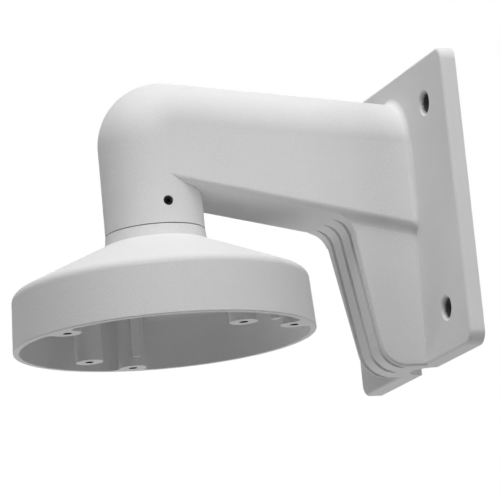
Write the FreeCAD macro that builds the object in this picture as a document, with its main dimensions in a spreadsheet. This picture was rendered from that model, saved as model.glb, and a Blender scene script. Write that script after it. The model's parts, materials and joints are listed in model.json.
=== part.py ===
"""Camera wall bracket: a hollow cast arm on a wall plate, and the round cap that hangs under its neck.

Millimetres, +Z up. The origin is the middle of the wall plate's back face: the wall is the plane Y = 0,
the arm reaches out along -Y, and X runs along the wall.
"""
import FreeCAD, Part
import math
import os
import Sketcher
from FreeCAD import Placement, Rotation, Vector

SIZES = {
    # Wall plate
    "plate_width": 117.0,
    "plate_height": 120.0,
    "plate_thick": 6.4,
    "plate_corner": 5.5,
    "plate_edge_round": 1.4,
    "hole_spacing_across": 76.0,
    "hole_spacing_up": 83.5,
    "hole_bore": 5.2,
    "hole_mouth": 10.4,
    "hole_mouth_angle": 90.0,
    # Relief cored out of the plate's back, with a pad left round each hole
    "relief_depth": 2.4,
    "relief_rim": 5.0,
    "relief_corner": 3.0,
    "hole_pad": 16.0,
    "cable_land": 4.0,
    # Neck, elbow and arm
    "reach": 111.2,
    "neck_radius": 19.85,
    "neck_foot": -0.9,
    "elbow_level": 34.2,
    "bend_radius": 5.9,
    "arm_slope": 4.8,
    "arm_wall_radius": 18.5,
    "flank_inset": 0.06,
    "underside_level": -6.5,
    "underside_slope": 12.0,
    "underside_round_neck": 2.2,
    "underside_round_wall": 3.2,
    "wall_fillet": 2.4,
    # Gusset under the arm
    "gusset_front": 33.5,
    "gusset_lean": 9.25,
    "gusset_half_width": 16.8,
    "gusset_draft": 3.9,
    "gusset_top_blend": 10.0,
    "gusset_foot_blend": 11.0,
    "gusset_edge_round": 1.15,
    "overhang_above": 1.8,
    "overhang_below": 1.4,
    "blend_overlap": 0.05,
    # Grooves down the gusset's front
    "groove_count": 3,
    "groove_pitch": 9.8,
    "groove_width": 2.6,
    "groove_depth": 2.0,
    "groove_top_blend": 10.4,
    "groove_foot_blend": 11.1,
    # Hollow inside the casting
    "arm_wall": 3.4,
    "floor_wall": 3.5,
    "gusset_side_wall": 3.2,
    "gusset_front_wall": 4.8,
    "core_corner": 1.5,
    "neck_bore_radius": 14.2,
    "notch_radius": 8.2,
    # Threaded joint of neck and cap
    "thread_radius": 15.0,
    "thread_length": 14.0,
    "thread_clearance": 0.1,
    "cable_bore_radius": 12.4,
    # Seal between neck and cap
    "seal_thick": 0.4,
    "seal_radius": 19.2,
    # Set screw
    "screw_level": 7.9,
    "screw_diameter": 4.0,
    "screw_clearance": 0.05,
    "screw_length": 5.0,
    "screw_recess": 0.85,
    "screw_seat_play": 0.1,
    "socket_flats": 2.0,
    "socket_depth": 2.0,
    "screw_tip_chamfer": 0.7,
    # Mounting cap
    "cap_radius": 60.0,
    "cap_height": 43.7,
    "skirt_top_radius": 58.8,
    "cap_wall": 2.4,
    "roof_wall": 2.8,
    "collar_top_radius": 19.85,
    "collar_foot_radius": 20.4,
    "collar_height": 4.4,
    "cone_slope": 23.7,
    "shoulder_round": 4.0,
    "rim_round": 0.5,
    "cap_turn": -3.4,
    # Camera bosses inside the cap
    "boss_diameter": 11.0,
    "boss_bore": 3.4,
    "boss_bore_depth": 12.0,
    "rim_boss_count": 3,
    "rim_boss_circle": 52.5,
    "rim_boss_angle": 60.0,
    "rim_boss_fillet": 3.0,
    "inner_boss_count": 2,
    "inner_boss_circle": 42.0,
    "inner_boss_angle": 32.0,
    "stop_width": 3.0,
    "stop_reach": 8.6,
    "stop_recess": 3.3,
}

doc = FreeCAD.newDocument("wall_bracket")
sheet = doc.addObject("Spreadsheet::Sheet", "sizes")
for row, (alias, value) in enumerate(SIZES.items(), start=1):
    sheet.set("A%d" % row, alias)
    sheet.set("B%d" % row, str(value))
    sheet.setAlias("B%d" % row, alias)
doc.recompute()

# Expressions that several features share
ARM_TILT = "(sizes.arm_slope * 1deg)"
UNDER_TILT = "(sizes.underside_slope * 1deg)"
LEAN = "(sizes.gusset_lean * 1deg)"
HALF_HEIGHT = "(sizes.plate_height / 2)"
PIVOT_OUT = "(sizes.reach - sizes.bend_radius)"
NECK_HALF = "(sizes.neck_radius - sizes.flank_inset)"
WALL_HALF = "(sizes.arm_wall_radius - sizes.flank_inset)"


def number(expression):
    """The value of an expression on the sheet."""
    return float(sheet.evalExpression(str(expression)))


def plane_of(body, role):
    return next(item for item in body.Origin.OriginFeatures if item.Role == role)


def new_body(label, base=("0", "0", "0"), turn="0"):
    """A body whose own frame stands at base, turned about +Z."""
    body = doc.addObject("PartDesign::Body", label)
    body.Label = label
    for axis, expression in zip("xyz", base):
        body.setExpression(".Placement.Base." + axis, expression)
    body.Placement.Rotation = Rotation(Vector(0, 0, 1), number(turn))
    if turn != "0":
        body.setExpression(".Placement.Rotation.Angle", turn + " * 1deg")
    return body


def new_sketch(body, label, role, base=("0", "0", "0"), axis=Vector(1, 0, 0), turn="0"):
    """A sketch on one of the body's own planes, set off from it and turned in it."""
    sketch = body.newObject("Sketcher::SketchObject", label)
    sketch.AttachmentSupport = [(plane_of(body, role), "")]
    sketch.MapMode = "FlatFace"
    spot = Vector(*[number(item) for item in base])
    sketch.AttachmentOffset = Placement(spot, Rotation(axis, number(turn)))
    for name, expression in zip("xyz", base):
        if expression != "0":
            sketch.setExpression(".AttachmentOffset.Base." + name, expression)
    if turn != "0":
        sketch.setExpression(".AttachmentOffset.Rotation.Angle", turn)
    return sketch


def bind(sketch, kind, geometry, expression, end=None):
    """A dimension whose value is the expression: a radius, or a point's distance from the origin."""
    value = number(expression)
    if kind in ("DistanceX", "DistanceY"):
        if abs(value) < 1e-9:
            axis_line = -2 if kind == "DistanceX" else -1
            sketch.addConstraint(Sketcher.Constraint("PointOnObject", geometry, end, axis_line))
            return
        index = sketch.addConstraint(Sketcher.Constraint(kind, -1, 1, geometry, end, value))
    else:
        index = sketch.addConstraint(Sketcher.Constraint(kind, geometry, value))
    sketch.setExpression("Constraints[%d]" % index, str(expression))


def outline(sketch, corners):
    """A closed outline of straight sides; each corner is (across, up) or (across, up, rounding radius)."""
    count = len(corners)
    spots = [Vector(number(corner[0]), number(corner[1]), 0) for corner in corners]
    radii = [number(corner[2]) if len(corner) > 2 else 0.0 for corner in corners]
    ahead = [(spots[(i + 1) % count] - spots[i]).normalize() for i in range(count)]
    turns = [math.atan2(ahead[i - 1].cross(ahead[i]).z, ahead[i - 1].dot(ahead[i])) for i in range(count)]
    cuts = [radii[i] * math.tan(abs(turns[i]) / 2) for i in range(count)]
    first = sketch.GeometryCount
    for i in range(count):
        start = spots[i] + ahead[i] * cuts[i]
        end = spots[(i + 1) % count] - ahead[i] * cuts[(i + 1) % count]
        sketch.addGeometry(Part.LineSegment(start, end), False)
    for i, corner in enumerate(corners):
        before, after = first + (i - 1) % count, first + i
        if not radii[i]:
            sketch.addConstraint(Sketcher.Constraint("Coincident", before, 2, after, 1))
            bind(sketch, "DistanceX", after, corner[0], 1)
            bind(sketch, "DistanceY", after, corner[1], 1)
            continue
        left = turns[i] > 0
        side = 1 if left else -1
        entry = spots[i] - ahead[i - 1] * cuts[i]
        centre = entry + Vector(-ahead[i - 1].y, ahead[i - 1].x, 0) * radii[i] * side
        start_angle = math.atan2(entry.y - centre.y, entry.x - centre.x)
        end_angle = start_angle + turns[i]
        angles = (start_angle, end_angle) if left else (end_angle, start_angle)
        bend_circle = Part.Circle(centre, Vector(0, 0, 1), radii[i])
        arc = sketch.addGeometry(Part.ArcOfCircle(bend_circle, *angles), False)
        sketch.addConstraint(Sketcher.Constraint("Tangent", before, 2, arc, 1 if left else 2))
        sketch.addConstraint(Sketcher.Constraint("Tangent", arc, 2 if left else 1, after, 1))
        bind(sketch, "Radius", arc, corner[2])
        point = sketch.addGeometry(Part.Point(spots[i]), True)
        sketch.addConstraint(Sketcher.Constraint("PointOnObject", point, 1, before))
        sketch.addConstraint(Sketcher.Constraint("PointOnObject", point, 1, after))
        bind(sketch, "DistanceX", point, corner[0], 1)
        bind(sketch, "DistanceY", point, corner[1], 1)


def circle(sketch, across, up, radius):
    spot = Vector(number(across), number(up), 0)
    index = sketch.addGeometry(Part.Circle(spot, Vector(0, 0, 1), number(radius)), False)
    bind(sketch, "Radius", index, radius)
    bind(sketch, "DistanceX", index, across, 3)
    bind(sketch, "DistanceY", index, up, 3)


def loaf(sketch, half, spring, radius, floor, corner=None):
    """An arch of the radius about the spring point, on upright flanks that stand on a level floor."""
    side, top, bend, low = number(half), number(spring), number(radius), number(floor)
    corner_size = number(corner) if corner else 0.0
    foot = low + corner_size
    drop = math.sqrt(bend ** 2 - side ** 2)
    dip = math.asin(drop / bend)
    level = side - corner_size
    base = sketch.addGeometry(Part.LineSegment(Vector(-level, low, 0), Vector(level, low, 0)))
    right = sketch.addGeometry(Part.LineSegment(Vector(side, foot, 0), Vector(side, top - drop, 0)))
    arch_circle = Part.Circle(Vector(0, top, 0), Vector(0, 0, 1), bend)
    arch = sketch.addGeometry(Part.ArcOfCircle(arch_circle, -dip, math.pi + dip))
    left = sketch.addGeometry(Part.LineSegment(Vector(-side, top - drop, 0), Vector(-side, foot, 0)))
    sketch.addConstraint(Sketcher.Constraint("Coincident", right, 2, arch, 1))
    sketch.addConstraint(Sketcher.Constraint("Coincident", arch, 2, left, 1))
    sketch.addConstraint(Sketcher.Constraint("Vertical", right))
    sketch.addConstraint(Sketcher.Constraint("Vertical", left))
    sketch.addConstraint(Sketcher.Constraint("Horizontal", base))
    if corner:
        for sign, before, after in ((1, base, right), (-1, left, base)):
            centre = Vector(sign * (side - corner_size), foot, 0)
            start = -math.pi / 2 if sign > 0 else math.pi
            bend_circle = Part.Circle(centre, Vector(0, 0, 1), corner_size)
            arc = sketch.addGeometry(Part.ArcOfCircle(bend_circle, start, start + math.pi / 2))
            sketch.addConstraint(Sketcher.Constraint("Tangent", before, 2, arc, 1))
            sketch.addConstraint(Sketcher.Constraint("Tangent", arc, 2, after, 1))
            bind(sketch, "Radius", arc, corner)
    else:
        sketch.addConstraint(Sketcher.Constraint("Coincident", base, 2, right, 1))
        sketch.addConstraint(Sketcher.Constraint("Coincident", left, 2, base, 1))
    bind(sketch, "DistanceX", right, half, 1)
    bind(sketch, "DistanceX", left, "-" + half, 1)
    bind(sketch, "DistanceY", base, floor, 1)
    bind(sketch, "DistanceX", arch, "0", 3)
    bind(sketch, "DistanceY", arch, spring, 3)
    bind(sketch, "Radius", arch, radius)


def feature(body, kind, label, profile, **settings):
    """A feature made from a sketch; a setting given as text is an expression."""
    item = body.newObject("PartDesign::" + kind, label)
    item.Profile = profile
    for name, setting in settings.items():
        if isinstance(setting, str) and setting.startswith("expr:"):
            setattr(item, name, number(setting[5:]))
            item.setExpression(name, setting[5:])
        else:
            setattr(item, name, setting)
    doc.recompute()
    return item


def size(expression):
    """Marks a setting as an expression on the sheet."""
    return "expr:" + expression


def loft(body, kind, label, first, last):
    item = body.newObject("PartDesign::" + kind, label)
    item.Profile = first
    item.Sections = [last]
    item.Ruled = True
    doc.recompute()
    return item


def dress_edges(body, kind, label, setting, expression, wanted):
    """Rounds or chamfers each edge of the solid so far for which wanted is true."""
    base = body.Tip
    names = ["Edge%d" % i for i, edge in enumerate(base.Shape.Edges, start=1) if wanted(edge)]
    item = body.newObject("PartDesign::" + kind, label)
    item.Base = (base, names)
    setattr(item, setting, number(expression))
    item.setExpression(setting, expression)
    doc.recompute()
    return item


def round_edges(body, label, radius, wanted):
    return dress_edges(body, "Fillet", label, "Radius", radius, wanted)


def lies_on(edge, axis, level, tolerance=1e-4):
    """True when the whole edge lies in the plane where the coordinate has that level."""
    box = edge.BoundBox
    low, high = {"x": (box.XMin, box.XMax), "y": (box.YMin, box.YMax), "z": (box.ZMin, box.ZMax)}[axis]
    return abs(low - level) < tolerance and abs(high - level) < tolerance


# Wall plate
plate = new_body("plate_core")
sketch = new_sketch(plate, "plate_outline", "XZ_Plane")
half_x, half_z, corner = "sizes.plate_width / 2", "sizes.plate_height / 2", "sizes.plate_corner"
outline(sketch, [("-" + half_x, "-" + half_z, corner), (half_x, "-" + half_z, corner),
                 (half_x, half_z, corner), ("-" + half_x, half_z, corner)])
feature(plate, "Pad", "wall_plate", sketch, Length=size("sizes.plate_thick"))
front = -number("sizes.plate_thick")
round_edges(plate, "plate_edge_rounding", "sizes.plate_edge_round", lambda edge: lies_on(edge, "y", front))


# Gusset: a tapered block that runs out parallel to the arm's underside
def gusset_half(level):
    return "(sizes.gusset_half_width + tan(sizes.gusset_draft * 1deg) * (%s))" % level


def run_outward(pad):
    """Sends a pad of a section on the wall plane out along the slope of the arm's underside."""
    slope = math.radians(number("sizes.underside_slope"))
    pad.UseCustomVector = True
    pad.Direction = Vector(0, -math.cos(slope), math.sin(slope))
    pad.setExpression("Direction.y", "-cos(%s)" % UNDER_TILT)
    pad.setExpression("Direction.z", "sin(%s)" % UNDER_TILT)
    doc.recompute()


casting = new_body("bracket_casting")
FOOT_BELOW = "(%s + 12)" % HALF_HEIGHT
INSIDE_ARM = "(sizes.underside_level + 12)"
low_half, high_half = gusset_half("-" + FOOT_BELOW), gusset_half(INSIDE_ARM)
sketch = new_sketch(casting, "gusset_section", "XZ_Plane")
outline(sketch, [("-" + low_half, "-" + FOOT_BELOW), (low_half, "-" + FOOT_BELOW),
                 (high_half, INSIDE_ARM), ("-" + high_half, INSIDE_ARM)])
run_outward(feature(casting, "Pad", "gusset_block", sketch, Length=size("sizes.gusset_front + 12")))

# The gusset's front, its blend into the underside and its rounded foot
FOOT_OUT = "(-sizes.gusset_front + tan(%s) * %s)" % (LEAN, HALF_HEIGHT)


def trim_gusset(label, clear):
    """Cuts away what lies before and below the gusset, keeping clear of it by a hair."""
    lift = "(sizes.underside_level + sizes.blend_overlap - %s)" % clear
    face = "(sizes.gusset_front + %s)" % clear
    level = "((%s + tan(%s) * %s) / (1 - tan(%s) * tan(%s)))" % (lift, UNDER_TILT, face, UNDER_TILT, LEAN)
    out = "(-%s - tan(%s) * %s)" % (face, LEAN, level)
    far = "(sizes.gusset_front + 30)"
    below = "(%s + %s)" % (HALF_HEIGHT, clear)
    profile = new_sketch(casting, label + "_profile", "YZ_Plane")
    outline(profile, [("2", "-" + below),
                      ("(%s - %s)" % (FOOT_OUT, clear), "-" + below, "sizes.gusset_foot_blend"),
                      (out, level, "sizes.gusset_top_blend"),
                      ("-" + far, "%s + tan(%s) * %s" % (lift, UNDER_TILT, far)),
                      ("-" + far, "-%s - 30" % HALF_HEIGHT),
                      ("2", "-%s - 30" % HALF_HEIGHT)])
    feature(casting, "Pocket", label, profile, Length=size("sizes.plate_width"), SideType="Symmetric")


def is_gusset_edge(edge):
    """True for the edges between the gusset's two flanks and its front."""
    box = edge.BoundBox
    along = edge.tangentAt(edge.FirstParameter)
    one_side = box.XMin * box.XMax > 0
    return one_side and box.YMax - box.YMin > 1 and box.ZMax < number(INSIDE_ARM) and abs(along.x) < 0.2


trim_gusset("gusset_trim", "0")
round_edges(casting, "gusset_edge_rounding", "sizes.gusset_edge_round", is_gusset_edge)

# The step at the top of each flank, where the gusset is narrower than the arm above it
SHOULDER_UP = "(sizes.underside_level + sizes.overhang_above)"
SHOULDER_LOW = "(sizes.underside_level - sizes.overhang_below)"
low_side = "(%s - sizes.blend_overlap / 2)" % gusset_half(SHOULDER_LOW)
foot_side = "(%s - sizes.blend_overlap / 2)" % gusset_half("%s - 4" % SHOULDER_LOW)
step_in = "(%s - %s)" % (WALL_HALF, low_side)
step_down = "(%s - %s)" % (SHOULDER_UP, SHOULDER_LOW)
step_long = "sqrt(%s ^ 2 + %s ^ 2)" % (step_in, step_down)
step_round = "(0.47 * %s * %s / (%s - %s))" % (step_long, step_in, step_long, step_down)
sketch = new_sketch(casting, "shoulder_section", "XZ_Plane")
outline(sketch, [("-" + foot_side, "%s - 4" % SHOULDER_LOW),
                 (foot_side, "%s - 4" % SHOULDER_LOW),
                 (low_side, SHOULDER_LOW, step_round),
                 (WALL_HALF, SHOULDER_UP, step_round),
                 (WALL_HALF, INSIDE_ARM),
                 ("-" + WALL_HALF, INSIDE_ARM),
                 ("-" + WALL_HALF, SHOULDER_UP, step_round),
                 ("-" + low_side, SHOULDER_LOW, step_round)])
run_outward(feature(casting, "Pad", "gusset_shoulder", sketch, Length=size("sizes.gusset_front + 6")))
trim_gusset("shoulder_trim", "(sizes.blend_overlap / 4)")

# Wall plate joins it
join = casting.newObject("PartDesign::Boolean", "plate_join")
join.Type = "Fuse"
join.setObjects([plate])
doc.recompute()


def lay_arm(body, tube, arm_half, wall, wall_half, floor_neck, floor_wall, corners, start, wall_plane):
    """Neck, elbow and arm: outside or hollow, from the tube's radius at the neck and at the wall."""
    # Neck
    section = new_sketch(body, body.Label + "_neck_section", "XY_Plane", ("0", "0", start))
    circle(section, "0", "-sizes.reach", tube)
    feature(body, "Pad", body.Label + "_neck", section, Length=size("sizes.elbow_level - (%s)" % start))

    # The lower part of the arm's section reaches forward into the neck
    tilt = "-" + ARM_TILT
    section = new_sketch(body, body.Label + "_root_section", "XZ_Plane", NECK_PLANE, X_AXIS, tilt)
    low = (floor_neck, corners[0]) if corners else (floor_neck,)
    outline(section, [("-" + arm_half,) + low, (arm_half,) + low, (arm_half, "2"), ("-" + arm_half, "2")])
    run_outward(feature(body, "Pad", body.Label + "_root", section, Length=size("sizes.bend_radius * 0.95")))

    # Elbow: half of the tube's section swung about the bend axis
    section = new_sketch(body, body.Label + "_elbow_section", "XY_Plane", ("0", "0", "sizes.elbow_level"))
    draw_elbow(section, tube, arm_half)
    feature(body, "Revolution", body.Label + "_elbow", section, ReferenceAxis=(section, ["Edge1"]),
            Angle=size("90 + sizes.arm_slope"))

    # Arm: from the elbow back to the wall
    first = new_sketch(body, body.Label + "_arm_section_neck", "XZ_Plane", NECK_PLANE, X_AXIS, tilt)
    loaf(first, arm_half, "sizes.bend_radius", tube, floor_neck, corners[0] if corners else None)
    last = new_sketch(body, body.Label + "_arm_section_wall", "XZ_Plane", wall_plane, X_AXIS, tilt)
    loaf(last, wall_half, "sizes.bend_radius", wall, floor_wall, corners[1] if corners else None)
    loft(body, "AdditiveLoft", body.Label + "_arm", first, last)


def draw_elbow(section, tube, half):
    radius, side = number(tube), number(half)
    pivot, centre = -number(PIVOT_OUT), -number("sizes.reach")
    rise = math.sqrt(radius ** 2 - side ** 2)
    dip = math.asin(rise / radius)
    section.addGeometry(Part.LineSegment(Vector(side, pivot, 0), Vector(-side, pivot, 0)))
    section.addGeometry(Part.LineSegment(Vector(-side, pivot, 0), Vector(-side, centre + rise, 0)))
    arch = Part.Circle(Vector(0, centre, 0), Vector(0, 0, 1), radius)
    section.addGeometry(Part.ArcOfCircle(arch, math.pi - dip, 2 * math.pi + dip))
    section.addGeometry(Part.LineSegment(Vector(side, centre + rise, 0), Vector(side, pivot, 0)))
    for before, after in ((0, 1), (1, 2), (2, 3), (3, 0)):
        section.addConstraint(Sketcher.Constraint("Coincident", before, 2, after, 1))
    for upright in (1, 3):
        section.addConstraint(Sketcher.Constraint("Vertical", upright))
    section.addConstraint(Sketcher.Constraint("Horizontal", 0))
    bind(section, "DistanceX", 0, half, 1)
    bind(section, "DistanceX", 1, "-" + half, 1)
    bind(section, "DistanceY", 0, "-" + PIVOT_OUT, 1)
    bind(section, "DistanceX", 2, "0", 3)
    bind(section, "DistanceY", 2, "-sizes.reach", 3)
    bind(section, "Radius", 2, tube)


def plane_at(inset):
    """The arm's section plane whose axis crosses the depth: tilted with the arm."""
    level = "(sizes.elbow_level - tan(%s) * (%s - %s))" % (ARM_TILT, PIVOT_OUT, inset)
    return ("0", level, inset)


def floor_at(plane, above="0"):
    """Height in a section plane of the arm's underside, or of a line above it."""
    spread = "(cos(%s) + tan(%s) * sin(%s))" % (ARM_TILT, UNDER_TILT, ARM_TILT)
    height = "sizes.underside_level + %s + tan(%s) * %s" % (above, UNDER_TILT, plane[2])
    return "((%s - %s) / %s)" % (height, plane[1], spread)


X_AXIS = Vector(1, 0, 0)
NECK_PLANE = ("0", "sizes.elbow_level", PIVOT_OUT)
END_PLANE = plane_at("(0.42 * sizes.plate_thick)")
lay_arm(casting, "sizes.neck_radius", NECK_HALF, "sizes.arm_wall_radius", WALL_HALF,
        floor_at(NECK_PLANE), floor_at(END_PLANE),
        ("sizes.underside_round_neck", "sizes.underside_round_wall"), "sizes.neck_foot", END_PLANE)


def is_arm_foot(edge):
    """True for the edges where the arm's arch and flanks meet the plate's front."""
    box = edge.BoundBox
    within = max(-box.XMin, box.XMax) < number("sizes.arm_wall_radius + 2")
    return lies_on(edge, "y", front, 1e-3) and within and box.ZMin > number("sizes.underside_level + 3.3")


round_edges(casting, "arm_foot_fillet", "sizes.wall_fillet", is_arm_foot)

# Grooves down the gusset's front, running out at both ends
sketch = new_sketch(casting, "groove_profile", "YZ_Plane",
                    ("0", "0", "-sizes.groove_pitch * (sizes.groove_count - 1) / 2"))
floor_front = "(sizes.gusset_front - sizes.groove_depth / cos(%s))" % LEAN
floor_lift = "(sizes.underside_level - sizes.blend_overlap)"
floor_level = "((%s + tan(%s) * %s) / (1 - tan(%s) * tan(%s)))" % (
    floor_lift, UNDER_TILT, floor_front, UNDER_TILT, LEAN)
floor_out = "(-%s - tan(%s) * %s)" % (floor_front, LEAN, floor_level)
groove_low = "(%s + sizes.blend_overlap)" % HALF_HEIGHT
groove_foot = "(-%s + tan(%s) * %s)" % (floor_front, LEAN, groove_low)
far = "(sizes.gusset_front + 30)"
outline(sketch, [("2", "-" + groove_low),
                 (groove_foot, "-" + groove_low, "sizes.groove_foot_blend"),
                 (floor_out, floor_level, "sizes.groove_top_blend"),
                 ("-" + far, "%s + tan(%s) * %s" % (floor_lift, UNDER_TILT, far)),
                 ("-" + far, "-%s - 30" % HALF_HEIGHT),
                 ("2", "-%s - 30" % HALF_HEIGHT)])
groove = feature(casting, "Pocket", "groove", sketch, Length=size("sizes.groove_width"),
                 SideType="Symmetric")
row = casting.newObject("PartDesign::LinearPattern", "groove_row")
row.Originals = [groove]
row.Direction = (sketch, ["N_Axis"])
row.Length = number("sizes.groove_pitch * (sizes.groove_count - 1)")
row.setExpression("Length", "sizes.groove_pitch * (sizes.groove_count - 1)")
row.Occurrences = int(number("sizes.groove_count"))
row.setExpression("Occurrences", "sizes.groove_count")
casting.Tip = row
doc.recompute()

# Hollow of neck, arm and gusset, open at the neck's foot and at the wall
core = new_body("casting_hollow")
core_half = "(sizes.neck_bore_radius - sizes.flank_inset)"
core_wall = "(sizes.arm_wall_radius - sizes.arm_wall)"
CORE_PLANE = plane_at("(-sizes.neck_radius / 6)")
lay_arm(core, "sizes.neck_bore_radius", core_half, core_wall, "(%s - sizes.flank_inset)" % core_wall,
        floor_at(NECK_PLANE, "sizes.floor_wall"), floor_at(CORE_PLANE, "sizes.floor_wall"),
        ("sizes.core_corner", "sizes.core_corner"), "sizes.neck_foot - 1", CORE_PLANE)
sketch = new_sketch(core, "thread_section", "XY_Plane", ("0", "0", "sizes.neck_foot - 1"))
circle(sketch, "0", "-sizes.reach", "sizes.thread_radius")
feature(core, "Pad", "thread_bore", sketch, Length=size("sizes.thread_length + 1"))

# Hollow of the gusset
low_level = "(-%s + sizes.floor_wall)" % HALF_HEIGHT
low_core = "(%s - sizes.gusset_side_wall)" % gusset_half(low_level)
low_wall = "(sizes.gusset_front_wall + 0.23 * sizes.gusset_foot_blend)"
low_reach = "(%s - tan(%s) * sizes.floor_wall + %s)" % (FOOT_OUT, LEAN, low_wall)
top_level = "(sizes.underside_level + 12)"
top_core = "(%s - sizes.gusset_side_wall)" % gusset_half("sizes.underside_level")
top_reach = "(-sizes.gusset_front + 1.3 * sizes.gusset_front_wall)"
low = new_sketch(core, "gusset_hollow_foot", "XY_Plane", ("0", "0", low_level))
outline(low, [("-" + low_core, low_reach, "sizes.core_corner"), (low_core, low_reach, "sizes.core_corner"),
              (low_core, "2"), ("-" + low_core, "2")])
top = new_sketch(core, "gusset_hollow_top", "XY_Plane", ("0", "0", top_level))
outline(top, [("-" + top_core, top_reach, "sizes.core_corner"), (top_core, top_reach, "sizes.core_corner"),
              (top_core, "2"), ("-" + top_core, "2")])
loft(core, "AdditiveLoft", "gusset_hollow", low, top)
hollow = casting.newObject("PartDesign::Boolean", "hollow_cut")
hollow.Type = "Cut"
hollow.setObjects([core])
doc.recompute()

# Notch for the cable in the gusset's foot, open to the wall
sketch = new_sketch(casting, "notch_section", "XY_Plane", ("0", "0", "-%s - 1" % HALF_HEIGHT))
circle(sketch, "0", "0", "sizes.notch_radius")
feature(casting, "Pocket", "cable_notch", sketch, Length=size("sizes.floor_wall + 2"), Reversed=True)

# Relief in the plate's back, on both sides of the hollow, round the pads of the holes
sketch = new_sketch(casting, "relief_outline", "XZ_Plane")
side_x = "(sizes.plate_width / 2 - sizes.relief_rim)"
side_z = "(sizes.plate_height / 2 - sizes.relief_rim)"
inner_x = "(sizes.arm_wall_radius - sizes.arm_wall + sizes.cable_land)"
inner_low = "(%s + sizes.cable_land)" % low_core
hole_x, hole_z = "(sizes.hole_spacing_across / 2)", "(sizes.hole_spacing_up / 2)"
round_in = "sizes.relief_corner"
for sign in ("", "-"):
    outline(sketch, [(sign + inner_x, side_z, round_in), (sign + inner_x, "sizes.underside_level", round_in),
                     (sign + inner_low, "-" + side_z, round_in), (sign + side_x, "-" + side_z, round_in),
                     (sign + side_x, side_z, round_in)])
feature(casting, "Pocket", "back_relief", sketch, Length=size("sizes.relief_depth"), Reversed=True)
sketch = new_sketch(casting, "pad_circles", "XZ_Plane")
for sign in ("", "-"):
    for up in ("", "-"):
        circle(sketch, sign + hole_x, up + hole_z, "sizes.hole_pad / 2")
feature(casting, "Pad", "hole_pads", sketch, Length=size("(sizes.relief_depth + sizes.plate_thick) / 2"))

# Countersunk holes for the wall screws
sketch = new_sketch(casting, "wall_hole_centres", "XZ_Plane", ("0", "0", "sizes.plate_thick"))
for sign in ("", "-"):
    for up in ("", "-"):
        circle(sketch, sign + hole_x, up + hole_z, "sizes.hole_bore / 2")
doc.recompute()
holes = casting.newObject("PartDesign::Hole", "wall_holes")
holes.Profile = sketch
holes.ThreadType = "None"
holes.DepthType = "ThroughAll"
holes.Diameter = number("sizes.hole_bore")
holes.setExpression("Diameter", "sizes.hole_bore")
holes.HoleCutType = "Countersink"
holes.HoleCutDiameter = number("sizes.hole_mouth")
holes.setExpression("HoleCutDiameter", "sizes.hole_mouth")
holes.HoleCutCountersinkAngle = number("sizes.hole_mouth_angle")
holes.setExpression("HoleCutCountersinkAngle", "sizes.hole_mouth_angle")
doc.recompute()

# Tapped hole for the set screw
sketch = new_sketch(casting, "screw_hole_centre", "YZ_Plane", ("0", "0", "sizes.neck_radius + 1"))
circle(sketch, "-sizes.reach", "sizes.screw_level", "sizes.screw_diameter / 2")
feature(casting, "Pocket", "screw_hole", sketch, Length=size("sizes.neck_radius - sizes.thread_radius + 2"))

# Mounting cap: its own frame stands at the top of its collar, on the neck's axis
CAP_BASE = ("0", "-sizes.reach", "sizes.neck_foot - sizes.seal_thick")
cap = new_body("mounting_cap", CAP_BASE)
CONE = "(sizes.cone_slope * 1deg)"
RIM = "(-sizes.cap_height)"
SPIGOT = "(sizes.thread_radius - sizes.thread_clearance)"
cone_run = "(sizes.skirt_top_radius - sizes.collar_foot_radius)"
corner_level = "(-sizes.collar_height - tan(%s) * %s)" % (CONE, cone_run)
sketch = new_sketch(cap, "cap_profile", "XZ_Plane")
outline(sketch, [("0", RIM), ("sizes.cap_radius", RIM, "sizes.rim_round"),
                 ("sizes.skirt_top_radius", corner_level, "sizes.shoulder_round"),
                 ("sizes.collar_foot_radius", "-sizes.collar_height"),
                 ("sizes.collar_top_radius", "0"),
                 (SPIGOT, "0"),
                 (SPIGOT, "sizes.thread_length - 5 * sizes.thread_clearance"),
                 ("0", "sizes.thread_length - 5 * sizes.thread_clearance")])
feature(cap, "Revolution", "cap_shell", sketch, ReferenceAxis=(sketch, ["V_Axis"]), Angle=360.0)

# Hollow of the cap, with the cable bore through its spigot
inside = new_body("cap_hollow")
drop = "(sizes.roof_wall / cos(%s))" % CONE
roof_level = "(-sizes.collar_height - %s)" % drop
inner_top = "(sizes.skirt_top_radius - sizes.cap_wall)"
inner_corner = "(%s - tan(%s) * (%s - sizes.collar_foot_radius))" % (roof_level, CONE, inner_top)
past = "(%s - 1)" % RIM
sketch = new_sketch(inside, "cap_hollow_profile", "XZ_Plane")
outline(sketch, [("0", past), ("sizes.cap_radius - sizes.cap_wall", past),
                 ("sizes.cap_radius - sizes.cap_wall", RIM),
                 (inner_top, inner_corner, "sizes.shoulder_round - sizes.cap_wall"),
                 ("sizes.collar_foot_radius", roof_level),
                 ("sizes.cable_bore_radius", roof_level),
                 ("sizes.cable_bore_radius", "sizes.thread_length + 1"),
                 ("0", "sizes.thread_length + 1")])
feature(inside, "Revolution", "cap_room", sketch, ReferenceAxis=(sketch, ["V_Axis"]), Angle=360.0)

Z_AXIS = Vector(0, 0, 1)
RIM_TURN = "((sizes.rim_boss_angle + sizes.cap_turn) * 1deg)"
INNER_TURN = "((sizes.inner_boss_angle + sizes.cap_turn) * 1deg)"
boss = "(sizes.boss_diameter / 2)"
depth = "sizes.cap_height + 2"


def ring_of(body, label, originals, count):
    ring = body.newObject("PartDesign::PolarPattern", label)
    ring.Originals = originals
    ring.Axis = (plane_of(body, "Z_Axis"), [""])
    ring.Angle = 360.0
    ring.Occurrences = int(number(count))
    ring.setExpression("Occurrences", count)
    body.Tip = ring
    doc.recompute()
    return ring


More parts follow.
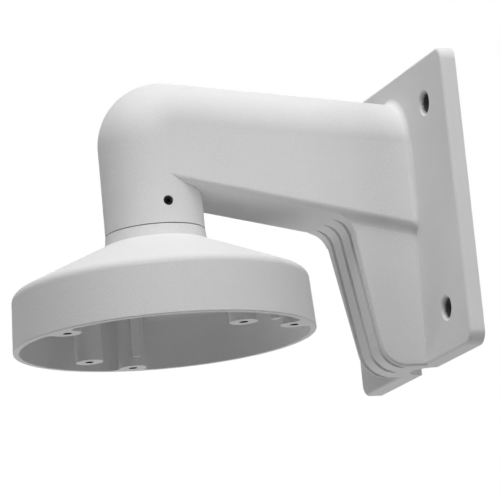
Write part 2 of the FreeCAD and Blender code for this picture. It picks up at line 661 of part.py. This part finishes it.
# Bosses left standing in the hollow: three run into the skirt, two stand free
sketch = new_sketch(inside, "rim_boss_outline", "XY_Plane", ("0", "0", RIM), Z_AXIS, RIM_TURN)
circle(sketch, "sizes.rim_boss_circle", "0", boss)
rim_boss = feature(inside, "Pocket", "rim_boss", sketch, Length=size(depth), Reversed=True)
sketch = new_sketch(inside, "rim_web_outline", "XY_Plane", ("0", "0", RIM), Z_AXIS, RIM_TURN)
web_out = "sqrt((sizes.cap_radius - sizes.cap_wall) ^ 2 - (%s + sizes.rim_boss_fillet) ^ 2)" % boss
web_half = "(%s - sizes.blend_overlap)" % boss
flare = "(%s + sizes.rim_boss_fillet + 1)" % boss
outline(sketch, [("sizes.rim_boss_circle - 1", "-" + web_half),
                 (web_out, "-" + web_half, "sizes.rim_boss_fillet"),
                 (web_out, "-" + flare),
                 ("sizes.cap_radius + 1", "-" + flare),
                 ("sizes.cap_radius + 1", flare),
                 (web_out, flare),
                 (web_out, web_half, "sizes.rim_boss_fillet"),
                 ("sizes.rim_boss_circle - 1", web_half)])
web = feature(inside, "Pocket", "rim_web", sketch, Length=size(depth), Reversed=True)
sketch = new_sketch(inside, "stop_outline", "XY_Plane", ("0", "0", RIM + " + sizes.stop_recess"),
                    Z_AXIS, RIM_TURN)
outline(sketch, [("sizes.rim_boss_circle - sizes.stop_reach", "-sizes.stop_width / 2"),
                 ("sizes.rim_boss_circle", "-sizes.stop_width / 2"),
                 ("sizes.rim_boss_circle", "sizes.stop_width / 2"),
                 ("sizes.rim_boss_circle - sizes.stop_reach", "sizes.stop_width / 2")])
stop = feature(inside, "Pocket", "stop_rib", sketch, Length=size(depth), Reversed=True)
ring_of(inside, "rim_boss_ring", [rim_boss, web, stop], "sizes.rim_boss_count")
sketch = new_sketch(inside, "inner_boss_outline", "XY_Plane", ("0", "0", RIM), Z_AXIS, INNER_TURN)
circle(sketch, "sizes.inner_boss_circle", "0", boss)
inner_boss = feature(inside, "Pocket", "inner_boss", sketch, Length=size(depth), Reversed=True)
ring_of(inside, "inner_boss_ring", [inner_boss], "sizes.inner_boss_count")

room = cap.newObject("PartDesign::Boolean", "room_cut")
room.Type = "Cut"
room.setObjects([inside])
doc.recompute()

# Threaded bores of the bosses, from the rim plane
sketch = new_sketch(cap, "rim_bore_centre", "XY_Plane", ("0", "0", RIM), Z_AXIS, RIM_TURN)
circle(sketch, "sizes.rim_boss_circle", "0", "sizes.boss_bore / 2")
bore = feature(cap, "Pocket", "rim_bore", sketch, Length=size("sizes.boss_bore_depth"), Reversed=True)
ring_of(cap, "rim_bore_ring", [bore], "sizes.rim_boss_count")
sketch = new_sketch(cap, "inner_bore_centre", "XY_Plane", ("0", "0", RIM), Z_AXIS, INNER_TURN)
circle(sketch, "sizes.inner_boss_circle", "0", "sizes.boss_bore / 2")
bore = feature(cap, "Pocket", "inner_bore", sketch, Length=size("sizes.boss_bore_depth"), Reversed=True)
ring_of(cap, "inner_bore_ring", [bore], "sizes.inner_boss_count")

# Seat for the set screw in the spigot, in line with the neck's hole
TIP = "(sizes.neck_radius - sizes.screw_recess - sizes.screw_length)"
level = "(sizes.screw_level - sizes.neck_foot + sizes.seal_thick)"
sketch = new_sketch(cap, "seat_centre", "YZ_Plane", ("0", "0", "sizes.thread_radius + 1"))
circle(sketch, "0", level, "sizes.screw_diameter / 2")
feature(cap, "Pocket", "screw_seat", sketch,
        Length=size("sizes.thread_radius + 1 - %s + sizes.screw_seat_play" % TIP))

# Seal between the neck's foot and the cap's collar
seal = new_body("neck_seal", CAP_BASE)
sketch = new_sketch(seal, "seal_section", "XY_Plane")
circle(sketch, "0", "0", "sizes.seal_radius")
circle(sketch, "0", "0", "sizes.thread_radius + 2 * sizes.thread_clearance")
feature(seal, "Pad", "seal_ring", sketch, Length=size("sizes.seal_thick"))

# Set screw: its tip sits in the spigot's seat, its socket faces out of the neck
screw = new_body("set_screw", (TIP, "-sizes.reach", "sizes.screw_level"))
sketch = new_sketch(screw, "screw_section", "YZ_Plane")
circle(sketch, "0", "0", "sizes.screw_diameter / 2 - sizes.screw_clearance")
feature(screw, "Pad", "screw_shank", sketch, Length=size("sizes.screw_length"))
dress_edges(screw, "Chamfer", "screw_tip", "Size", "sizes.screw_tip_chamfer",
            lambda edge: lies_on(edge, "x", screw.Tip.Shape.BoundBox.XMin, 1e-3))
sketch = new_sketch(screw, "socket_outline", "YZ_Plane", ("0", "0", "sizes.screw_length"))
across = "(sizes.socket_flats / 2 / cos(30deg))"
outline(sketch, [("%s * cos(%ddeg)" % (across, angle), "%s * sin(%ddeg)" % (across, angle))
                 for angle in range(30, 390, 60)])
feature(screw, "Pocket", "hex_socket", sketch, Length=size("sizes.socket_depth"))

NODES = (casting, cap, screw, seal)
doc.recompute()
for item in doc.Objects:
    if "Invalid" in item.State or "Error" in item.State:
        raise RuntimeError("%s did not compute: %s" % (item.Label, item.State))
os.makedirs("parts", exist_ok=True)
for body in NODES:
    shape = body.Shape
    if shape.isNull() or not shape.isValid() or len(shape.Solids) != 1:
        raise RuntimeError("%s is not one valid solid" % body.Label)
    shape.exportStep("parts/%s.step" % body.Label)
    print(body.Label, shape.BoundBox, "%.1f mm3" % shape.Volume)
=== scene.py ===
"""Camera wall bracket: finishes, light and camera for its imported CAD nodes, laid out as a Blender add-on.

Metres, +Z up. The wall is the plane Y = 0, the arm reaches out along -Y and X runs along the wall.
"""

import json
import math

import bpy
from bpy.props import FloatProperty, FloatVectorProperty, PointerProperty
from bpy.types import Operator, Panel, PropertyGroup
from mathutils import Matrix, Vector


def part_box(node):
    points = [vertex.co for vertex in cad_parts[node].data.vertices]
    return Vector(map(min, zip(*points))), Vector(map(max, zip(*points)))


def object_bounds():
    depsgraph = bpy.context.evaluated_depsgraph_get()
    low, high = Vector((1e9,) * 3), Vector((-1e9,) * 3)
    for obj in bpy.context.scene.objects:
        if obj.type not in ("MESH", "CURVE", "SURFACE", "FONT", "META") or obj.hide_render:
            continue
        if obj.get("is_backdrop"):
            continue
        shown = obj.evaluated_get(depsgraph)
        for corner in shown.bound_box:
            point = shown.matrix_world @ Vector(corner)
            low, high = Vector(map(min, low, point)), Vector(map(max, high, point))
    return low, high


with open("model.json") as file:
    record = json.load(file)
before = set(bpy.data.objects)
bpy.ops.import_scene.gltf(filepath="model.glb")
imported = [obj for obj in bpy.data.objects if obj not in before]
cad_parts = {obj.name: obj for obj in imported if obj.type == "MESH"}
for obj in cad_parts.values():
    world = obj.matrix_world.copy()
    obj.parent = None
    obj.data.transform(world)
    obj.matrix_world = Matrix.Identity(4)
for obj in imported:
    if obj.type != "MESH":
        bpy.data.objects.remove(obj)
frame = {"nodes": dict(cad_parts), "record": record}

bl_info = {
    "name": "Camera Wall Bracket",
    "version": (1, 0, 0),
    "blender": (4, 5, 0),
    "location": "3D View > Sidebar > Wall Bracket",
    "description": "Finishes, light and camera for a cast camera wall bracket with a round mounting cap",
    "category": "Object",
}

HOLES = {mount["name"]: mount for mount in frame["record"]["mounts"]}
CASTING = frame["nodes"]["bracket_casting"]
CAP = frame["nodes"]["mounting_cap"]
SCREW = frame["nodes"]["set_screw"]
SEAL = frame["nodes"]["neck_seal"]

MM = 0.001

# The coat's speckle is mostly fine grain, and the rest is soft cloud
GRAIN_SHARE = 0.6
ROUGHNESS_SPREAD = 0.08
# The darkest and the lightest shade of each colour
COAT_SHADES = (0.86, 1.14)
SCREW_SHADES = (0.7, 1.5)
SEAL_SHADES = (0.8, 1.2)

# Painted shade inside the wall holes: where it starts round a hole's axis, how much the grain moves that
# edge, and how steep it is per metre
WALL_HOLE_SHADE = 4.7 * MM
WALL_HOLE_RAGGEDNESS = 1.2 * MM
WALL_HOLE_STEEPNESS = 900.0
# How far the plate stands off the wall and how deep a camera hole is, each with a little to spare
PLATE_REACH = 6.8 * MM
CAMERA_HOLE_DEPTH = 12.5 * MM
# How far the painted shade reaches past a bore's wall, so that it covers it
BORE_MARGIN = 0.1 * MM
SOCKET_MARGIN = 0.05 * MM
# Steepness of the other edges of the painted shade, per metre
BORE_STEEPNESS = 10000.0
SOCKET_STEEPNESS = 40000.0
# Where each ring of camera holes starts round the cap's axis, in degrees
CAMERA_HOLES = {"camera_holes_outer": 56.6, "camera_holes_inner": 28.6}

# Each lamp's place and size in metres. Its power is a setting of the studio
LAMPS = {
    "overhead": ((0.6, -0.4, 1.2), 0.7),
    "side": ((1.0, -0.1, 0.85), 0.7),
    "wall": ((1.2, 0.8, 0.2), 0.9),
    "low": ((-0.8, -0.6, -0.7), 0.6),
    "below": ((-0.2, -0.1, -0.85), 0.5),
    "back": ((-0.5, 1.1, 0.7), 0.8),
}
LIT_POINT = Vector((0.0, -0.08, -0.01))
WHITE = (1.0, 1.0, 1.0, 1.0)
FLOOR_WIDTH = 80.0
FLOOR_COLOUR = (0.8, 0.8, 0.8, 1.0)
# Share of plain white in the floor as the camera sees it
FLOOR_PALENESS = 0.8


class CoatingSettings(PropertyGroup):
    """The powder coat on the castings"""

    colour: FloatVectorProperty(
        name="Colour",
        description="Colour of the powder coat",
        subtype="COLOR",
        size=3,
        min=0.0,
        max=1.0,
        default=(0.80, 0.80, 0.80),
    )
    grain: FloatProperty(
        name="Grain",
        description="Distance between the coat's low bumps",
        subtype="DISTANCE",
        default=0.00045,
        min=0.0002,
        max=0.01,
    )
    relief: FloatProperty(
        name="Relief",
        description="Height of the coat's low bumps",
        subtype="DISTANCE",
        default=0.00011,
        min=0.0,
        max=0.0005,
    )
    roughness: FloatProperty(
        name="Roughness",
        description="Roughness of the coat",
        subtype="FACTOR",
        default=0.65,
        min=0.0,
        max=1.0,
    )
    # Painted shade: this colour stands in for the shade deep inside the screw holes, the bores and the set
    # screw's socket
    hole_shade_colour: FloatVectorProperty(
        name="Hole Shade Colour",
        description="Colour of the dark metal inside the screw holes, where the coat does not reach",
        subtype="COLOR",
        size=3,
        min=0.0,
        max=1.0,
        default=(0.02, 0.02, 0.02),
    )


class FittingSettings(PropertyGroup):
    """The set screw and the seal"""

    screw_colour: FloatVectorProperty(
        name="Screw Colour",
        description="Colour of the blackened set screw",
        subtype="COLOR",
        size=3,
        min=0.0,
        max=1.0,
        default=(0.006, 0.006, 0.006),
    )
    seal_colour: FloatVectorProperty(
        name="Seal Colour",
        description="Colour of the rubber seal",
        subtype="COLOR",
        size=3,
        min=0.0,
        max=1.0,
        default=(0.012, 0.012, 0.012),
    )


class StudioSettings(PropertyGroup):
    """The camera, the light and the floor"""

    focal_length: FloatProperty(
        name="Focal Length",
        description="Lens of the camera on its 36 mm sensor",
        subtype="DISTANCE_CAMERA",
        default=245.1,
        min=20.0,
        max=500.0,
    )
    camera_place: FloatVectorProperty(
        name="Camera Place",
        description="Where the camera stands",
        subtype="TRANSLATION",
        size=3,
        default=(1.2483, -0.5350, -0.2875),
    )
    azimuth: FloatProperty(
        name="Azimuth",
        description="How far the camera stands round from the front",
        subtype="ANGLE",
        default=math.radians(69.65),
    )
    elevation: FloatProperty(
        name="Elevation",
        description="How far the camera stands above the bracket's level",
        subtype="ANGLE",
        default=math.radians(-11.84),
    )
    roll: FloatProperty(
        name="Roll",
        description="How far the camera leans to its side",
        subtype="ANGLE",
        default=math.radians(-5.53),
    )
    overhead_power: FloatProperty(
        name="Overhead Power",
        description="Power of the lamp overhead, towards the front",
        subtype="POWER",
        default=14.0,
        min=0.0,
    )
    side_power: FloatProperty(
        name="Side Power",
        description="Power of the lamp high beside the bracket",
        subtype="POWER",
        default=1.5,
        min=0.0,
    )
    wall_power: FloatProperty(
        name="Wall Power",
        description="Power of the lamp that stands behind the wall's plane",
        subtype="POWER",
        default=3.6,
        min=0.0,
    )
    low_power: FloatProperty(
        name="Low Power",
        description="Power of the lamp below, on the far side",
        subtype="POWER",
        default=2.5,
        min=0.0,
    )
    below_power: FloatProperty(
        name="Below Power",
        description="Power of the lamp straight below",
        subtype="POWER",
        default=1.0,
        min=0.0,
    )
    back_power: FloatProperty(
        name="Back Power",
        description="Power of the lamp high behind the plate",
        subtype="POWER",
        default=3.2,
        min=0.0,
    )
    surround: FloatProperty(
        name="Surround",
        description="Strength of the even light from all sides",
        default=0.15,
        min=0.0,
    )
    floor_drop: FloatProperty(
        name="Floor Drop",
        description="How far the floor lies below the bracket",
        subtype="DISTANCE",
        default=1.6,
        min=0.1,
    )


class Wire:
    """A node's output socket: arithmetic on it adds Math nodes to its tree."""

    def __init__(self, tree, socket):
        self.tree = tree
        self.socket = socket

    def math(self, operation, first, second):
        """Adds one Math node."""
        node = self.tree.nodes.new("ShaderNodeMath")
        node.operation = operation
        for slot, value in zip(node.inputs, (first, second)):
            plug(self.tree, slot, value)
        return Wire(self.tree, node.outputs[0])

    def __add__(self, other):
        return self.math("ADD", self, other)

    def __radd__(self, other):
        return self.math("ADD", other, self)

    def __sub__(self, other):
        return self.math("SUBTRACT", self, other)

    def __rsub__(self, other):
        return self.math("SUBTRACT", other, self)

    def __mul__(self, other):
        return self.math("MULTIPLY", self, other)

    def __rmul__(self, other):
        return self.math("MULTIPLY", other, self)

    def __pow__(self, power):
        return self.math("POWER", self, power)

    def __abs__(self):
        return self.math("ABSOLUTE", self, 0.0)

    def least(self, other):
        return self.math("MINIMUM", self, other)

    def most(self, other):
        return self.math("MAXIMUM", self, other)

    def share(self):
        """Keeps the value from 0 to 1."""
        return self.most(0.0).least(1.0)


def plug(tree, slot, value):
    """Gives an input socket its wire, or its fixed value."""
    if isinstance(value, Wire):
        tree.links.new(value.socket, slot)
    else:
        slot.default_value = value


class Finish:
    """A material or a world that is made of nodes."""

    def __init__(self, owner, output="ShaderNodeOutputMaterial"):
        owner.use_nodes = True
        self.owner = owner
        self.tree = owner.node_tree
        self.tree.nodes.clear()
        self.output = self.tree.nodes.new(output)

    def node(self, kind, inputs=None, result=0, **settings):
        """Adds a node with its settings, then plugs its inputs, and gives one of its outputs."""
        node = self.tree.nodes.new(kind)
        for name, value in settings.items():
            setattr(node, name, value)
        for key, value in (inputs or {}).items():
            plug(self.tree, node.inputs[key], value)
        return Wire(self.tree, node.outputs[result])

    def place(self):
        """A point's place in the frame, in metres."""
        return self.node("ShaderNodeTexCoord", result="Object")

    def noise(self, scale, detail, roughness):
        """A soft pattern from about 0 to 1 that lies fixed in the piece."""
        inputs = {"Vector": self.place(), "Scale": scale, "Detail": detail, "Roughness": roughness}
        return self.node("ShaderNodeTexNoise", inputs)

    def axes(self):
        """Gives the place's X, Y and Z."""
        split = self.node("ShaderNodeSeparateXYZ", {"Vector": self.place()})
        return [Wire(self.tree, output) for output in split.socket.node.outputs]

    def mix(self, factor, first, second):
        """Goes from the first colour to the second, through the Mix node's colour sockets."""
        return self.node("ShaderNodeMix", {0: factor, 6: first, 7: second}, result=2, data_type="RGBA")

    def shades(self, pattern, colour, shares):
        """Goes with the pattern from a darker shade of the colour to a lighter one."""
        darker, lighter = (paint(channel * share for channel in colour) for share in shares)
        return self.mix(pattern, darker, lighter)

    def seen(self):
        """1 for a ray from the camera, or one that a surface reflects or lets through, else 0."""
        rays = self.node("ShaderNodeLightPath").socket.node.outputs
        names = ("Is Camera Ray", "Is Glossy Ray", "Is Transmission Ray")
        straight, glossy, clear = (Wire(self.tree, rays[name]) for name in names)
        return straight.most(glossy).most(clear)

    def finish(self, surface):
        """Shows the surface, and gives the finished material or world."""
        self.tree.links.new(surface.socket, self.output.inputs["Surface"])
        return self.owner


def dress(piece, material):
    """Puts the material in every slot of a CAD node."""
    for slot in piece.material_slots:
        slot.material = material


def apart(across, up):
    """Distance from an axis, by the offsets from it."""
    return (across * across + up * up) ** 0.5


def paint(colour):
    """A setting's colour with the fourth value that a socket has."""
    return tuple(colour) + (1.0,)


class BRACKET_OT_coat_castings(Operator):
    """Powder-coats the bracket's casting and its mounting cap"""

    bl_idname = "bracket.coat_castings"
    bl_label = "Coat Castings"

    def execute(self, context):
        coating = context.scene.bracket_coating
        finish = Finish(bpy.data.materials.new("white_powder_coat"))
        grain = finish.noise(scale=1 / coating.grain, detail=2.0, roughness=0.5)
        cloud = finish.noise(scale=18.0, detail=3.0, roughness=0.55)
        speckle = GRAIN_SHARE * grain + (1 - GRAIN_SHARE) * cloud
        coat = finish.shades(speckle, coating.colour, COAT_SHADES)
        bump = finish.node(
            "ShaderNodeBump",
            {"Strength": 1.0, "Distance": coating.relief, "Height": grain},
            result="Normal",
        )
        surface = finish.node(
            "ShaderNodeBsdfPrincipled",
            {
                # The coat, with painted shade mixed in inside the screw holes
                "Base Color": finish.mix(self.holes(finish, grain), coat, paint(coating.hole_shade_colour)),
                "Roughness": coating.roughness + ROUGHNESS_SPREAD * (grain - 0.5),
                "Specular IOR Level": 0.3,
                "Normal": bump,
            },
        )
        material = finish.finish(surface)
        dress(CASTING, material)
        dress(CAP, material)
        return {"FINISHED"}

    def holes(self, finish, grain):
        """How much painted shade a point gets inside the screw holes, from 0 to 1."""
        x, y, z = finish.axes()
        wall = HOLES["wall_holes"]["dims"]
        from_axis = apart(abs(x) - wall["spacing_x_mm"] * MM / 2, abs(z) - wall["spacing_y_mm"] * MM / 2)
        edge = WALL_HOLE_SHADE + WALL_HOLE_RAGGEDNESS * (grain - 0.5)
        in_plate = ((y + PLATE_REACH) * BORE_STEEPNESS).share()
        dark = ((edge - from_axis) * WALL_HOLE_STEEPNESS).share() * in_plate
        for name, turn in CAMERA_HOLES.items():
            ring = HOLES[name]["dims"]
            centre = HOLES[name]["pos_m"]
            reach = ring["pcd_mm"] * MM / 2
            radius = ring["hole_r_mm"] * MM + BORE_MARGIN
            below = ((centre[2] + CAMERA_HOLE_DEPTH - z) * BORE_STEEPNESS).share()
            for count in range(ring["count"]):
                angle = math.radians(turn + 360 * count / ring["count"])
                across = x - (centre[0] + reach * math.cos(angle))
                along = y - (centre[1] + reach * math.sin(angle))
                bore = ((radius - apart(across, along)) * BORE_STEEPNESS).share()
                dark = dark.most(bore * below)
        low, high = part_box("set_screw")
        from_axis = apart(y - (low[1] + high[1]) / 2, z - (low[2] + high[2]) / 2)
        radius = (high[2] - low[2]) / 2 + SOCKET_MARGIN
        socket = ((radius - from_axis) * SOCKET_STEEPNESS).share()
        near_side = ((x - low[0]) * BORE_STEEPNESS).share()
        return dark.most(socket * near_side)


class BRACKET_OT_finish_fittings(Operator):
    """Blackens the set screw and gives the seal its rubber"""

    bl_idname = "bracket.finish_fittings"
    bl_label = "Finish Fittings"

    def execute(self, context):
        fitting = context.scene.bracket_fitting
        black = Finish(bpy.data.materials.new("blackened_steel"))
        wear = black.noise(scale=1500.0, detail=3.0, roughness=0.6)
        surface = black.node(
            "ShaderNodeBsdfPrincipled",
            {
                "Base Color": black.shades(wear, fitting.screw_colour, SCREW_SHADES),
                "Specular IOR Level": 0.25,
                "Roughness": 0.5 + 0.2 * wear,
            },
        )
        dress(SCREW, black.finish(surface))
        rubber = Finish(bpy.data.materials.new("seal_rubber"))
        dust = rubber.noise(scale=900.0, detail=2.0, roughness=0.5)
        surface = rubber.node(
            "ShaderNodeBsdfPrincipled",
            {"Base Color": rubber.shades(dust, fitting.seal_colour, SEAL_SHADES), "Roughness": 0.75},
        )
        dress(SEAL, rubber.finish(surface))
        return {"FINISHED"}


def lamp(name, place, size, power):
    """A large soft lamp that faces the bracket."""
    light = bpy.data.lights.new(name, "AREA")
    light.shape = "DISK"
    light.size = size
    light.energy = power
    item = bpy.data.objects.new(name, light)
    item.location = place
    item.rotation_euler = (Vector(place) - LIT_POINT).to_track_quat("Z", "Y").to_euler()
    bpy.context.scene.collection.objects.link(item)


class BRACKET_OT_set_stage(Operator):
    """Lays the floor, sets the light and places the camera"""

    bl_idname = "bracket.set_stage"
    bl_label = "Set Stage"

    def execute(self, context):
        scene = context.scene
        studio = scene.bracket_studio
        self.lay_floor(studio)
        self.light(scene, studio)
        self.place_camera(scene, studio)
        return {"FINISHED"}

    def lay_floor(self, studio):
        bpy.ops.object.select_all(action="DESELECT")
        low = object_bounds()[0][2]
        bpy.ops.mesh.primitive_plane_add(size=FLOOR_WIDTH, location=(0.0, 0.0, low - studio.floor_drop))
        floor = bpy.context.object
        floor.name = "studio_floor"
        bpy.ops.object.transform_apply(location=True, rotation=True, scale=True)
        pale = Finish(bpy.data.materials.new("pale_floor"))
        lit = pale.node("ShaderNodeBsdfDiffuse", {"Color": FLOOR_COLOUR})
        plain = pale.node("ShaderNodeEmission", {"Color": WHITE, "Strength": 1.0})
        surface = pale.node("ShaderNodeMixShader", {0: FLOOR_PALENESS * pale.seen(), 1: lit, 2: plain})
        floor.data.materials.append(pale.finish(surface))
        floor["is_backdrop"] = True

    def light(self, scene, studio):
        world = Finish(bpy.data.worlds.new("studio_light"), "ShaderNodeOutputWorld")
        level = studio.surround + (1.0 - studio.surround) * world.seen()
        scene.world = world.finish(world.node("ShaderNodeBackground", {"Color": WHITE, "Strength": level}))
        for name, (place, size) in LAMPS.items():
            lamp(name + "_lamp", place, size, getattr(studio, name + "_power"))

    def place_camera(self, scene, studio):
        turn, lift, roll = studio.azimuth, studio.elevation, studio.roll
        back = Vector((math.sin(turn) * math.cos(lift), -math.cos(turn) * math.cos(lift), math.sin(lift)))
        level = (-back).cross(Vector((0.0, 0.0, 1.0))).normalized()
        upright = back.cross(level)
        right = math.cos(roll) * level + math.sin(roll) * upright
        up = math.cos(roll) * upright - math.sin(roll) * level
        data = bpy.data.cameras.new("photo_camera")
        data.lens = studio.focal_length
        data.sensor_width = 36.0
        data.clip_end = 100.0
        camera = bpy.data.objects.new("photo_camera", data)
        axes = Matrix((right, up, back)).transposed().to_4x4()
        camera.matrix_world = Matrix.Translation(Vector(studio.camera_place)) @ axes
        scene.collection.objects.link(camera)
        scene.camera = camera
        scene.view_settings.view_transform = "Standard"


class BRACKET_PT_panel(Panel):
    """Finishes, light and steps of the bracket's scene"""

    bl_label = "Wall Bracket"
    bl_idname = "BRACKET_PT_panel"
    bl_space_type = "VIEW_3D"
    bl_region_type = "UI"
    bl_category = "Wall Bracket"

    def draw(self, context):
        for title, settings, step in SECTIONS:
            box = self.layout.box()
            box.label(text=title)
            group = getattr(context.scene, settings)
            for name in group.__annotations__:
                box.prop(group, name)
            box.operator(step)


SECTIONS = (
    ("Coating", "bracket_coating", "bracket.coat_castings"),
    ("Fittings", "bracket_fitting", "bracket.finish_fittings"),
    ("Studio", "bracket_studio", "bracket.set_stage"),
)
SETTINGS = {
    "bracket_coating": CoatingSettings,
    "bracket_fitting": FittingSettings,
    "bracket_studio": StudioSettings,
}
CLASSES = (
    CoatingSettings,
    FittingSettings,
    StudioSettings,
    BRACKET_OT_coat_castings,
    BRACKET_OT_finish_fittings,
    BRACKET_OT_set_stage,
    BRACKET_PT_panel,
)


def register():
    for item in CLASSES:
        bpy.utils.register_class(item)
    for name, settings in SETTINGS.items():
        setattr(bpy.types.Scene, name, PointerProperty(type=settings))


def unregister():
    for name in SETTINGS:
        delattr(bpy.types.Scene, name)
    for item in reversed(CLASSES):
        bpy.utils.unregister_class(item)


def main():
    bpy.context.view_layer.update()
    register()
    bpy.ops.bracket.coat_castings()
    bpy.ops.bracket.finish_fittings()
    bpy.ops.bracket.set_stage()


if __name__ == "__main__":
    main()
